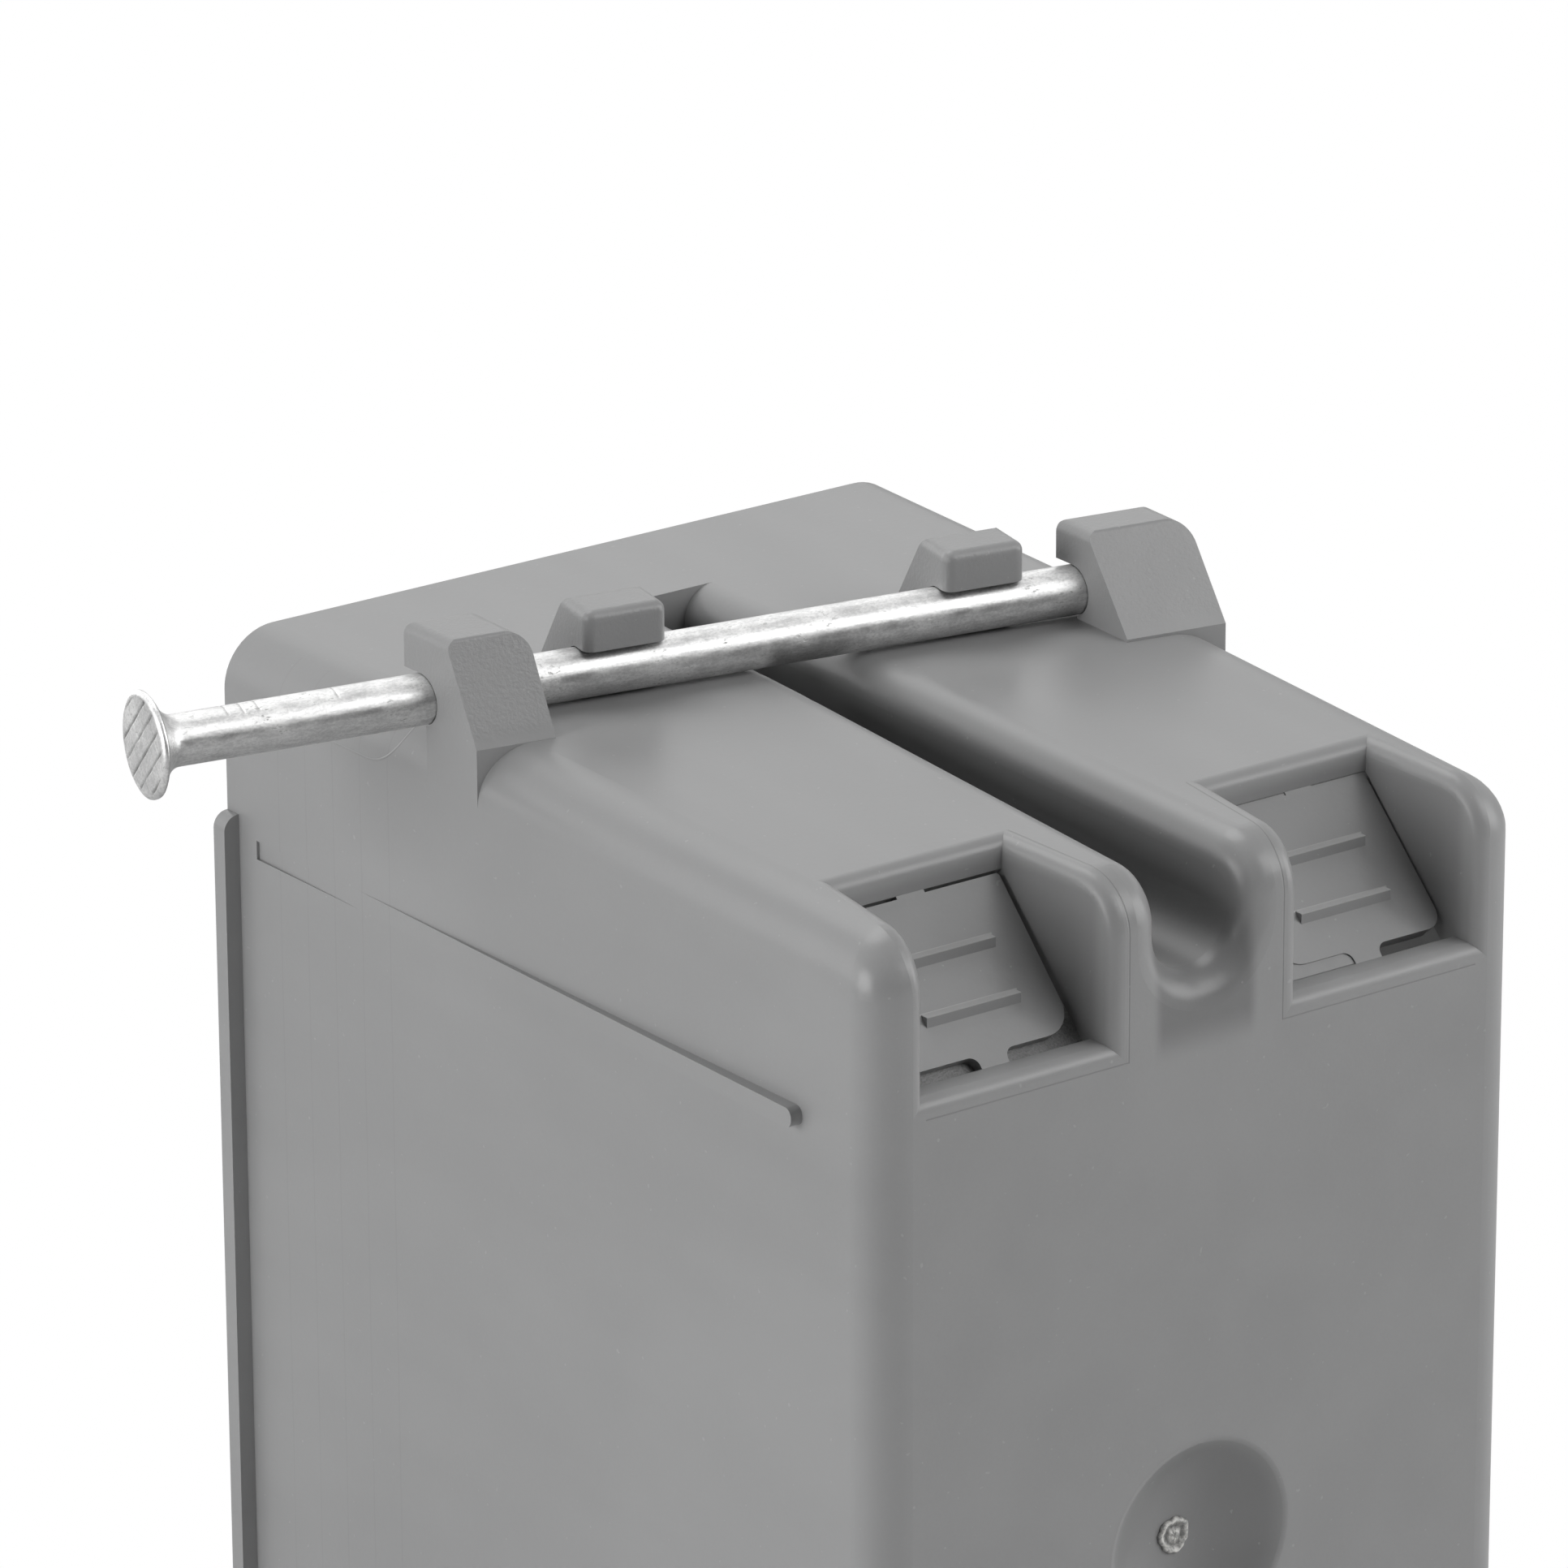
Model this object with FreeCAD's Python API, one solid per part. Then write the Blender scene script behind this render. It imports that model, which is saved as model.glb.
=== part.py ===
import FreeCAD, Part
import math
import os

from FreeCAD import Vector

# One-gang new work outlet box, moulded in one piece, with its two captive mounting nails.
# Millimetres. X runs across the box towards the nail heads, Y from the open front to the
# back wall, Z up. The origin lies in the plane of the front rim, midway between the two
# device screw holes. Both ends of the box carry the same features, mirrored in Z.

# Box shell
box_width = 57.15
box_height = 95.25
box_depth = 71.6
wall = 2.0
side_draft = 1.8
end_draft = 1.4
end_level_depth = 30.2
end_blend_radius = 300.0
long_edge_radius = 4.0
back_end_edge_radius = 3.9
back_side_edge_radius = 2.9

# Groove along each end, with the device screw boss in front of it
groove_front = 11.2
groove_half_width_front = 1.9
groove_half_width_back = 3.4
groove_depth = 8.9
groove_rim_radius = 2.3
groove_web = 1.7
device_screw_spacing = 83.3
device_screw_hole_radius = 1.5

# Cable entry in each back corner: a pocket closed by a sloping flap
entry_inner_wall = 8.5
entry_side_land = 4.6749
entry_wall_draft = 5.0
entry_reach = 10.6
entry_front_depth = 2.8
entry_lip_depth = 12.1
entry_lip_land = 2.2
entry_rim_radius = 1.0
entry_web = 1.7

# Flap: its outline is given by its distance down the slope from the front of the pocket
flap_thickness = 1.3
flap_ear_reach = 11.6
flap_inner_ear_radius = 2.0
flap_outer_ear_radius = 1.2
flap_top_gap = 0.22
flap_inner_gap = 0.4
flap_inner_taper = 0.4
flap_outer_gap = 0.2
flap_tab_offset = 0.825
flap_tab_width = 2.2
flap_tongue_offset = 0.225
flap_tongue_width = 2.2
flap_tongue_radius = 0.7
flap_rib_inner_gap = 3.0
flap_rib_outer_gap = 2.65
flap_rib_tread = 0.65
flap_rib_root = 0.4
flap_rib_first = 4.0
flap_rib_pitch = 4.0

# Nail: it crosses the box on the skew, its head further forward than its point
nail_skew = 10.0
nail_axis_depth = 27.87
nail_radius = 1.75
nail_length = 76.2
nail_head_reach = 48.15
nail_head_radius = 3.65
nail_head_thickness = 0.55
nail_head_edge = 0.25
nail_neck_length = 1.7
nail_neck_radius = 3.3
nail_point_length = 4.5
nail_bore_clearance = 0.07
nail_wall_clearance = 0.10

# Brackets: they close over the nail from behind, one at each side wall
bracket_front = -1.75
bracket_foot_back = 6.1
bracket_edge_radius = 0.3
bracket_head_side_radius = 0.8
bracket_point_side_radius = 1.6
bracket_root = 6.0
head_bracket_length = 6.575
head_bracket_height = 6.7
head_bracket_lean = 26.0
point_bracket_length = 8.675
point_bracket_height = 6.4
point_bracket_lean = 35.5

# Hooks: they rise in front of the nail and reach back over it
hook_width = 6.0
hook_height = 6.45
hook_tip = 1.5
hook_top_front = -2.2
hook_foot_front = -6.8
hook_corner_radius = 0.7
hook_root = 1.0
head_side_hook_centre = 13.9
point_side_hook_centre = -12.9
clip_shutoff = 0.6

# Front strips and side ribs
strip_proud = 1.17
strip_depth = 1.35
strip_end_inset = 12.7
strip_end_radius = 1.1
rib_front = 3.4
rib_back_inset = 7.7
rib_inset = 14.7
rib_width = 1.35
rib_end_radius = 0.6
rib_sink = 0.28
rib_draft = 0.75

# Dished gate in the back wall
dish_radius = 7.2
dish_depth = 2.6
dish_drop = 1.3
dish_rim_radius = 0.6

# How far a cutting form runs past the face that it opens, and how near counts as touching
clear = 4.0
touch = 0.001

end_level = box_height / 2
nail_bore_radius = nail_radius + nail_bore_clearance
nail_axis_level = end_level + nail_wall_clearance + nail_radius
nail_along = Vector(math.cos(math.radians(nail_skew)), -math.sin(math.radians(nail_skew)), 0)
nail_across = Vector(math.sin(math.radians(nail_skew)), math.cos(math.radians(nail_skew)), 0)
nail_centre = Vector(0, nail_axis_depth, nail_axis_level)
head_bracket_inner = box_width / 2 - head_bracket_length
point_bracket_inner = box_width / 2 - point_bracket_length
rib_back = box_depth - rib_back_inset
entry_front = box_depth - entry_reach
entry_lip = box_depth - entry_lip_land
groove_widening = (groove_half_width_back - groove_half_width_front) / (box_depth - groove_front)
flap_slope = math.atan2(entry_lip_depth - entry_front_depth, entry_lip - entry_front)
flap_length = math.hypot(entry_lip_depth - entry_front_depth, entry_lip - entry_front)


def tangent(degrees):
    return math.tan(math.radians(degrees))


entry_outer_wall = box_width / 2 - box_depth * tangent(side_draft) - entry_side_land
entry_middle = (entry_inner_wall + entry_outer_wall) / 2
flap_tab_centre = entry_middle + flap_tab_offset
flap_tongue_centre = entry_middle + flap_tongue_offset
flap_rib_inner = entry_inner_wall + flap_rib_inner_gap
flap_rib_outer = entry_outer_wall - flap_rib_outer_gap


def unit(vector):
    return vector / vector.Length


def rounded_wire(corners, lift):
    # A closed outline through corners (a, b, radius). A radius of zero keeps the corner
    # sharp. The function lift turns (a, b) into a point in space.
    turns = []
    for number, (a, b, radius) in enumerate(corners):
        here = Vector(a, b, 0)
        before = corners[number - 1]
        after = corners[(number + 1) % len(corners)]
        towards_before = unit(Vector(before[0], before[1], 0) - here)
        towards_after = unit(Vector(after[0], after[1], 0) - here)
        half_angle = towards_before.getAngle(towards_after) / 2
        reach = radius / math.tan(half_angle)
        rise = radius / math.sin(half_angle) - radius
        middle = here + unit(towards_before + towards_after) * rise
        turns.append((here + towards_before * reach, middle, here + towards_after * reach, radius))
    edges = []
    for number, (start, middle, end, radius) in enumerate(turns):
        last_end = turns[number - 1][2]
        edges.append(Part.LineSegment(lift(last_end.x, last_end.y), lift(start.x, start.y)).toShape())
        if radius > 0:
            arc = Part.Arc(lift(start.x, start.y), lift(middle.x, middle.y), lift(end.x, end.y))
            edges.append(arc.toShape())
    return Part.Wire(edges)


def prism(corners, lift, sweep):
    return Part.Face(rounded_wire(corners, lift)).extrude(sweep)


def mirrored(shapes, axis):
    # The given shapes and their mirror images in the plane through the origin.
    return shapes + [shape.mirror(Vector(0, 0, 0), axis) for shape in shapes]


def on_both_ends(shapes):
    return mirrored(shapes, Vector(0, 0, 1))


def on_both_sides(shapes):
    return mirrored(shapes, Vector(1, 0, 0))


def round_edges(shape, radius_of):
    # Rounds all the edges that radius_of gives a radius for, in one operation, so that
    # edges of different radii blend where they meet.
    document = FreeCAD.newDocument()
    base = document.addObject("Part::Feature", "base")
    base.Shape = shape
    rounded = document.addObject("Part::Fillet", "rounded")
    rounded.Base = base
    picked = []
    for number, edge in enumerate(shape.Edges, 1):
        radius = radius_of(edge)
        if radius > 0:
            picked.append((number, radius, radius))
    rounded.Edges = picked
    document.recompute()
    result = rounded.Shape.copy()
    FreeCAD.closeDocument(document.Name)
    return result


def rim_radius(shape, skin, tool, radius):
    # Picks the edges that a cutting tool leaves in a skin: they lie on the faces of both.
    # The edge square across the front of the groove stays sharp.
    skin_faces = Part.Compound(skin.Faces)
    tool_faces = Part.Compound(tool.Faces)

    def radius_of(edge):
        if edge.BoundBox.YMax < groove_front + touch:
            return 0
        middle = edge.valueAt((edge.FirstParameter + edge.LastParameter) / 2)
        spot = Part.Vertex(middle)
        if spot.distToShape(skin_faces)[0] > touch:
            return 0
        if spot.distToShape(tool_faces)[0] > touch:
            return 0
        return radius

    return radius_of


def half_width(y, inset):
    return box_width / 2 - inset - y * tangent(side_draft)


def end_wall_level(y):
    # Outer level of the end wall: flat at the front, falling to the back.
    return end_level - max(0, y - end_level_depth) * tangent(end_draft)


def side_form(front, back, inset, height):
    # The drafted side walls as a wedge of the given height.
    def lift(x, y):
        return Vector(x, y, -height)

    corners = [
        (half_width(front, inset), front, 0),
        (half_width(back, inset), back, 0),
        (-half_width(back, inset), back, 0),
        (-half_width(front, inset), front, 0),
    ]
    return prism(corners, lift, Vector(0, 0, 2 * height))


def end_form(front, back, inset):
    # The profile of both end walls and the back wall, drawn from the side. Only the outside
    # needs the soft bend where the end wall starts to fall.
    def lift(y, z):
        return Vector(-box_width, y, z)

    bend = end_blend_radius if inset == 0 else 0
    upper = [
        (front, end_level - inset, 0),
        (end_level_depth, end_level - inset, bend),
        (back, end_wall_level(back) - inset, 0),
    ]
    lower = [(y, -z, radius) for y, z, radius in reversed(upper)]
    return prism(upper + lower, lift, Vector(2 * box_width, 0, 0))


def tub(front, inset):
    # The box form, with its long edges and back edges rounded.
    back = box_depth - inset
    sharp = end_form(front, back, inset).common(side_form(front, back, inset, box_height))

    def radius_of(edge):
        box = edge.BoundBox
        centre = box.Center
        at_end = abs(centre.z) > end_level / 2
        at_side = abs(centre.x) > box_width / 4
        if box.YMin < front + inset and box.YLength < inset:
            return 0
        if at_end and at_side and box.YLength > inset / 2:
            return long_edge_radius - inset
        if box.YMin > back - touch and at_end:
            return back_end_edge_radius - inset
        if box.YMin > back - touch and at_side:
            return back_side_edge_radius - inset
        return 0

    return round_edges(sharp, radius_of)


def groove_form(offset, front):
    # The round-bottomed groove, widening to the back: a cone lying with its lowest line
    # level, under a wedge whose upright sides touch it. Both grow from the same apex, far
    # in front of the box. With an offset it becomes the outside of the trough that carries
    # the groove through the box.
    back = box_depth + clear
    floor = end_level - groove_depth - offset
    apex = groove_front - (groove_half_width_front + offset) / groove_widening
    side_angle = math.atan(groove_widening)
    cone_angle = math.atan(math.sin(side_angle))
    contact_slope = math.sin(side_angle) / math.cos(side_angle) ** 2

    def half(y):
        return (y - apex) * groove_widening

    def contact(y):
        return floor + (y - apex) * contact_slope

    def slab(level_at_front, level_at_back):
        corners = [
            (front, contact(front), 0),
            (back, contact(back), 0),
            (back, level_at_back, 0),
            (front, level_at_front, 0),
        ]
        return prism(corners, lambda y, z: Vector(-box_width, y, z), Vector(2 * box_width, 0, 0))

    plan = [
        (half(front), front, 0),
        (half(back), back, 0),
        (-half(back), back, 0),
        (-half(front), front, 0),
    ]
    top = end_level + clear
    wedge = prism(plan, lambda x, y: Vector(x, y, 0), Vector(0, 0, top)).common(slab(top, top))
    length = back + clear - apex
    axis = Vector(0, math.cos(cone_angle), math.sin(cone_angle))
    start = Vector(0, apex, floor)
    cone = Part.makeCone(0, length * math.tan(cone_angle), length, start, axis)
    return wedge.fuse(cone.common(slab(0, 0)))


def entry_plan(offset, front):
    # The entry pocket seen from above, its side walls drafted to the back.
    back = box_depth + clear

    def inner(y):
        return entry_inner_wall - offset - (y - entry_front) * tangent(entry_wall_draft)

    def outer(y):
        return entry_outer_wall + offset + (y - entry_front) * tangent(entry_wall_draft)

    corners = [
        (inner(front), front, 0),
        (inner(back), back, 0),
        (outer(back), back, 0),
        (outer(front), front, 0),
    ]
    return prism(corners, lambda x, y: Vector(x, y, 0), Vector(0, 0, end_level + clear))


def entry_form():
    # The open pocket of the entry on the +X side of the upper end.
    corners = [
        (entry_front, end_level + clear, 0),
        (entry_front, end_level - entry_front_depth, 0),
        (entry_lip, end_level - entry_lip_depth, 0),
        (box_depth + clear, end_level - entry_lip_depth, 0),
        (box_depth + clear, end_level + clear, 0),
    ]
    side = prism(corners, lambda y, z: Vector(0, y, z), Vector(box_width / 2, 0, 0))
    return side.common(entry_plan(0, entry_front - clear))


def entry_housing():
    # The walls round the pocket and the plate under it, before the pocket is cut.
    drop = flap_thickness / math.cos(flap_slope)
    steepness = math.tan(flap_slope)
    front = entry_front - entry_web
    lip_back = box_depth
    corners = [
        (front, end_level, 0),
        (front, end_level - entry_front_depth - drop - (front - entry_front) * steepness, 0),
        (lip_back, end_level - entry_front_depth - drop - (lip_back - entry_front) * steepness, 0),
        (lip_back, end_level, 0),
    ]
    side = prism(corners, lambda y, z: Vector(0, y, z), Vector(box_width / 2, 0, 0))
    return side.common(entry_plan(entry_web, front - clear))


def flap_lift(depth):
    # Places (x, distance down the slope) on a plane the given depth below the flap's face.
    def lift(x, slope):
        down = -math.sin(flap_slope) * slope - math.cos(flap_slope) * depth
        back = math.cos(flap_slope) * slope - math.sin(flap_slope) * depth
        return Vector(x, entry_front + back, end_level - entry_front_depth + down)

    return lift


def flap_outline():
    # The flap with its break-off tab at the front, its hinge tongue at the lip and the
    # two round-cornered ears beside the tongue.
    flare = tangent(entry_wall_draft) * math.cos(flap_slope)
    inner_front = entry_inner_wall + flap_inner_gap
    inner_back = inner_front - flap_inner_taper
    outer_front = entry_outer_wall - flap_outer_gap
    outer_back = outer_front + flare * flap_ear_reach
    tab_near = flap_tab_centre - flap_tab_width / 2
    tab_far = flap_tab_centre + flap_tab_width / 2
    tongue_near = flap_tongue_centre - flap_tongue_width / 2
    tongue_far = flap_tongue_centre + flap_tongue_width / 2
    return [
        (inner_front, flap_top_gap, flap_top_gap),
        (tab_near, flap_top_gap, 0),
        (tab_near, -clear, 0),
        (tab_far, -clear, 0),
        (tab_far, flap_top_gap, 0),
        (outer_front, flap_top_gap, flap_top_gap),
        (outer_back, flap_ear_reach, flap_outer_ear_radius),
        (tongue_far, flap_ear_reach, flap_tongue_radius),
        (tongue_far, flap_length + clear, 0),
        (tongue_near, flap_length + clear, 0),
        (tongue_near, flap_ear_reach, flap_tongue_radius),
        (inner_back, flap_ear_reach, flap_inner_ear_radius),
    ]


def flap_gap():
    # The slot all round the flap, down through the plate under the pocket.
    flare = tangent(entry_wall_draft) * math.cos(flap_slope)
    floor = [
        (entry_inner_wall, 0, 0),
        (entry_inner_wall - flare * flap_length, flap_length, 0),
        (entry_outer_wall + flare * flap_length, flap_length, 0),
        (entry_outer_wall, 0, 0),
    ]
    through = flap_lift(2 * flap_thickness)(0, 0) - flap_lift(-flap_thickness)(0, 0)
    slab = prism(floor, flap_lift(-flap_thickness), through)
    flap = prism(flap_outline(), flap_lift(-flap_thickness), through)
    return slab.cut(flap)


def flap_ribs():
    # Two finger ribs across the flap: steps with a level tread and an upright back.
    ribs = []
    for number in range(2):
        start = flap_lift(0)(flap_rib_inner, flap_rib_first + number * flap_rib_pitch)
        heel = start.y + flap_rib_tread
        drop = flap_rib_tread * math.tan(flap_slope) + flap_rib_root
        corners = [
            (start.y, start.z, 0),
            (heel, start.z, 0),
            (heel, start.z - drop, 0),
            (start.y, start.z - flap_rib_root, 0),
        ]
        across = Vector(flap_rib_outer - flap_rib_inner, 0, 0)
        ribs.append(prism(corners, lambda y, z: Vector(flap_rib_inner, y, z), across))
    return ribs


def beside_nail(along, across, above):
    # A point given by its place along the nail, behind its axis and above the end wall.
    rise = Vector(0, 0, end_level + above - nail_axis_level)
    return nail_centre + nail_along * along + nail_across * across + rise


def clip_profile(corners, bore_side):
    # A clip's section across the nail: the given corners, then the half bore that
    # closes the outline. bore_side is the side of the nail that the clip wraps.
    axis = nail_axis_level - end_level
    edge = math.sqrt(nail_bore_radius ** 2 - clip_shutoff ** 2)
    foot = bore_side * clip_shutoff
    top = axis + nail_bore_radius

    def place(across, above):
        return beside_nail(0, across, above)

    points = [(foot, axis - edge)] + corners + [(0, top)]
    edges = []
    for number in range(len(points) - 1):
        edges.append(Part.LineSegment(place(*points[number]), place(*points[number + 1])).toShape())
    turn = Part.Arc(place(0, top), place(bore_side * nail_bore_radius, axis), place(foot, axis - edge))
    edges.append(turn.toShape())
    return Part.Face(Part.Wire(edges))


def bracket(inner, height, lean, side):
    # A bracket over the nail from behind, flush with the side wall on the given side.
    top_back = bracket_foot_back - height * tangent(lean)
    corners = [
        (clip_shutoff, -bracket_root),
        (bracket_foot_back, -bracket_root),
        (bracket_foot_back, 0),
        (top_back, height),
        (bracket_front, height),
        (bracket_front, nail_axis_level - end_level + nail_bore_radius),
    ]
    bar = clip_profile(corners, 1).extrude(nail_along * side * box_width)
    slab = Part.makeBox(box_width, 2 * box_depth, box_height, Vector(inner, -box_depth, 0))
    if side < 0:
        slab = slab.mirror(Vector(0, 0, 0), Vector(1, 0, 0))
    trimmed = bar.common(slab).common(side_form(0, box_depth, 0, box_height))
    middle = trimmed.CenterOfGravity.x
    top = end_level + height

    def radius_of(edge):
        box = edge.BoundBox
        if box.ZMin < top - touch:
            return 0
        if box.XLength > box.YLength:
            return bracket_edge_radius
        if box.Center.x > middle:
            return bracket_head_side_radius
        return bracket_point_side_radius

    return round_edges(trimmed, radius_of)


def hook(centre):
    # A hook over the nail from the front.
    corners = [
        (-clip_shutoff, -hook_root),
        (hook_foot_front, -hook_root),
        (hook_foot_front, 0),
        (hook_top_front, hook_height),
        (hook_tip, hook_height),
        (hook_tip, nail_axis_level - end_level + nail_bore_radius),
    ]
    block = clip_profile(corners, -1).extrude(nail_along * hook_width)
    block.translate(nail_along * (centre - hook_width / 2))
    top = end_level + hook_height

    def radius_of(edge):
        box = edge.BoundBox
        if box.ZMin > top - touch:
            return hook_corner_radius
        if box.ZLength > box.DiagonalLength - touch and box.ZMax > top - touch:
            return hook_corner_radius
        return 0

    return round_edges(block, radius_of)


def strip():
    # The strip down the +X side at the front rim, with round ends.
    reach = end_level - strip_end_inset
    outer = box_width / 2 + strip_proud
    corners = [
        (box_width / 2 - wall, -reach, 0),
        (outer, -reach, strip_end_radius),
        (outer, reach, strip_end_radius),
        (box_width / 2 - wall, reach, 0),
    ]
    return prism(corners, lambda x, z: Vector(x, 0, z), Vector(0, strip_depth, 0))


def rib_track():
    # The upright band that the side rib lies in, through the wall and out past it.
    middle = end_level - rib_inset
    corners = [
        (rib_front, middle - rib_width / 2, 0),
        (rib_back, middle - rib_width / 2, rib_end_radius),
        (rib_back, middle + rib_width / 2, rib_end_radius),
        (rib_front, middle + rib_width / 2, 0),
    ]
    inner = half_width(rib_back, wall / 2)
    return prism(corners, lambda y, z: Vector(inner, y, z), Vector(box_width / 2 - inner, 0, 0))


def rib_crest_form():
    # Everything inside the crest of the side ribs. The crest has less draft than the wall,
    # so it starts just under the wall at the front and stands proud of it at the back.
    def crest(y):
        return box_width / 2 - rib_sink - y * tangent(rib_draft)

    corners = [
        (crest(0), 0, 0),
        (crest(box_depth), box_depth, 0),
        (0, box_depth, 0),
        (0, 0, 0),
    ]
    return prism(corners, lambda x, y: Vector(x, y, 0), Vector(0, 0, end_level))


def dish():
    # The bowl-shaped dish in the back wall, cut by a ball.
    ball_radius = (dish_radius ** 2 + dish_depth ** 2) / (2 * dish_depth)
    centre = Vector(0, box_depth - dish_depth + ball_radius, -dish_drop)
    return Part.makeSphere(ball_radius, centre)


def dish_boss():
    # The round pad inside the box that backs the dish.
    start = Vector(0, box_depth - dish_depth - wall, -dish_drop)
    return Part.makeCylinder(dish_radius, dish_depth + wall, start, Vector(0, 1, 0))


def shell_outside():
    # The outside of the box with its grooves, entry pockets and dish, rims rounded.
    skin = tub(0, 0)
    cuts = [(groove, groove_rim_radius) for groove in on_both_ends([groove_form(0, groove_front)])]
    for entry in on_both_ends(on_both_sides([entry_form()])):
        cuts.append((entry, entry_rim_radius))
    cuts.append((dish(), dish_rim_radius))
    shape = skin
    for tool, radius in cuts:
        cut = shape.cut(tool)
        shape = round_edges(cut, rim_radius(cut, skin, tool, radius))
    return shape


def cavity():
    # The hollow inside, less the troughs and entry housings that stand in it.
    hollow = tub(-clear, wall)
    troughs = on_both_ends([groove_form(groove_web, -2 * clear)])
    housings = on_both_ends(on_both_sides([entry_housing()]))
    return hollow.cut(troughs + housings + [dish_boss()])


def device_screw_holes():
    length = groove_front + 2 * clear
    spot = Vector(0, -clear, device_screw_spacing / 2)
    hole = Part.makeCylinder(device_screw_hole_radius, length, spot, Vector(0, 1, 0))
    return on_both_ends([hole])


def box_body():
    # Everything outside is joined before the hollow is cut, so nothing roots into it.
    clips = [
        bracket(head_bracket_inner, head_bracket_height, head_bracket_lean, 1),
        bracket(point_bracket_inner, point_bracket_height, point_bracket_lean, -1),
        hook(head_side_hook_centre),
        hook(point_side_hook_centre),
    ]
    tracks = on_both_ends(on_both_sides([rib_track().cut(rib_crest_form())]))
    ribs = on_both_ends(on_both_sides([rib_track().common(rib_crest_form())]))
    shape = shell_outside().cut(tracks).fuse(on_both_ends(clips) + ribs + on_both_sides([strip()]))
    gaps = on_both_ends(on_both_sides([flap_gap()]))
    shape = shape.cut([cavity()] + gaps + device_screw_holes())
    return shape.fuse(on_both_ends(on_both_sides(flap_ribs())))


def nail():
    # A common nail turned about its axis, its head towards +X, then laid on the skew.
    head = nail_head_reach
    seat = head - nail_head_thickness
    neck = seat - nail_neck_length
    point = head - nail_length
    points = [
        Vector(head, 0, 0),
        Vector(head, nail_head_radius - nail_head_edge, 0),
        Vector(head - nail_head_edge, nail_head_radius, 0),
        Vector(seat, nail_head_radius, 0),
        Vector(seat, nail_neck_radius, 0),
        Vector(neck, nail_radius, 0),
        Vector(point + nail_point_length, nail_radius, 0),
        Vector(point, 0, 0),
        Vector(head, 0, 0),
    ]
    shape = Part.Face(Part.makePolygon(points)).revolve(Vector(0, 0, 0), Vector(1, 0, 0), 360)
    shape.rotate(Vector(0, 0, 0), Vector(0, 0, 1), -nail_skew)
    shape.translate(nail_centre)
    return shape


def main():
    os.makedirs("parts", exist_ok=True)
    upper, lower = on_both_ends([nail()])
    pieces = {"box_body": box_body(), "nail_upper": upper, "nail_lower": lower}
    for name, shape in pieces.items():
        solid = shape.Solids[0]
        print(name, "solids", len(shape.Solids), "valid", shape.isValid(), "volume", round(solid.Volume))
        solid.exportStep("parts/" + name + ".step")


main()
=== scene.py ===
import math

import bpy
import numpy as np
from mathutils import Matrix, Vector


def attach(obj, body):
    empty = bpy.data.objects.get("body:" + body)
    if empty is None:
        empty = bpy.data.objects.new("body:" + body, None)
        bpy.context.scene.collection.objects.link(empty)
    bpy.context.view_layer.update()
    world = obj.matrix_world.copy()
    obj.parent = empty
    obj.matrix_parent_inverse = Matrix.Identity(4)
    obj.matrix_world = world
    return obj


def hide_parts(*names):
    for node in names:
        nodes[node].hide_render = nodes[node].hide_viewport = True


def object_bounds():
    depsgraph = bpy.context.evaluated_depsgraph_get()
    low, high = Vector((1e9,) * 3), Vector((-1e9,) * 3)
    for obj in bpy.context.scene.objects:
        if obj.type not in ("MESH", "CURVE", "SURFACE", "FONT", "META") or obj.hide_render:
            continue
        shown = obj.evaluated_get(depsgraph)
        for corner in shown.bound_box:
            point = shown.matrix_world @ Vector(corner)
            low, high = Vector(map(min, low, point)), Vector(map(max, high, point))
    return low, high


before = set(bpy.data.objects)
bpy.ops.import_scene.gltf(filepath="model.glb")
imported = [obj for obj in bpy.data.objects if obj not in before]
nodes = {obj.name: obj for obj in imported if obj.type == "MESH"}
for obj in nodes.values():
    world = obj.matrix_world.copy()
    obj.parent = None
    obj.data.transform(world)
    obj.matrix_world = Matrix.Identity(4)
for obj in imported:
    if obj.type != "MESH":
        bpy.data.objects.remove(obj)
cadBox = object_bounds()
mm = 0.001
print("frame loaded:", ", ".join(sorted(nodes)))


# camera
camera = {
    "place": (0.36481, 0.529469, 0.27125),
    "yaw": 35.8929,  # turned from the back wall towards the nail heads
    "pitch": 20.5495,
    "roll": -0.2475,
    "lens": 224.871,
}


def makeCamera(facts):
    yaw, pitch, roll = (math.radians(facts[k]) for k in ("yaw", "pitch", "roll"))
    level, tilt = math.cos(pitch), math.sin(pitch)
    back = Vector((math.sin(yaw) * level, math.cos(yaw) * level, tilt))
    rise = Vector((-math.sin(yaw) * tilt, -math.cos(yaw) * tilt, level))
    side = rise.cross(back)
    right = side * math.cos(roll) + rise * math.sin(roll)
    up = rise * math.cos(roll) - side * math.sin(roll)
    data = bpy.data.cameras.new("camera")
    data.lens = facts["lens"]
    data.sensor_width = 36.0
    data.clip_start = 0.01
    eye = bpy.data.objects.new("camera", data)
    turn = Matrix((right, up, back)).transposed().to_4x4()
    eye.matrix_world = Matrix.Translation(facts["place"]) @ turn
    bpy.context.scene.collection.objects.link(eye)
    bpy.context.scene.camera = eye


makeCamera(camera)
print("camera placed")


# small helpers for nodes
def addNode(tree, kind, place=(0, 0), **settings):
    node = tree.nodes.new(kind)
    node.location = place
    for name, value in settings.items():
        setattr(node, name, value)
    return node


def feed(tree, socket, value):
    # links a socket to a socket, or writes a plain value into it
    if isinstance(value, bpy.types.NodeSocket):
        tree.links.new(value, socket)
    else:
        socket.default_value = value


def calc(tree, operation, first, second=0.0, third=0.0):
    node = addNode(tree, "ShaderNodeMath", operation=operation)
    for socket, value in zip(node.inputs, (first, second, third)):
        feed(tree, socket, value)
    return node.outputs[0]


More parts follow.
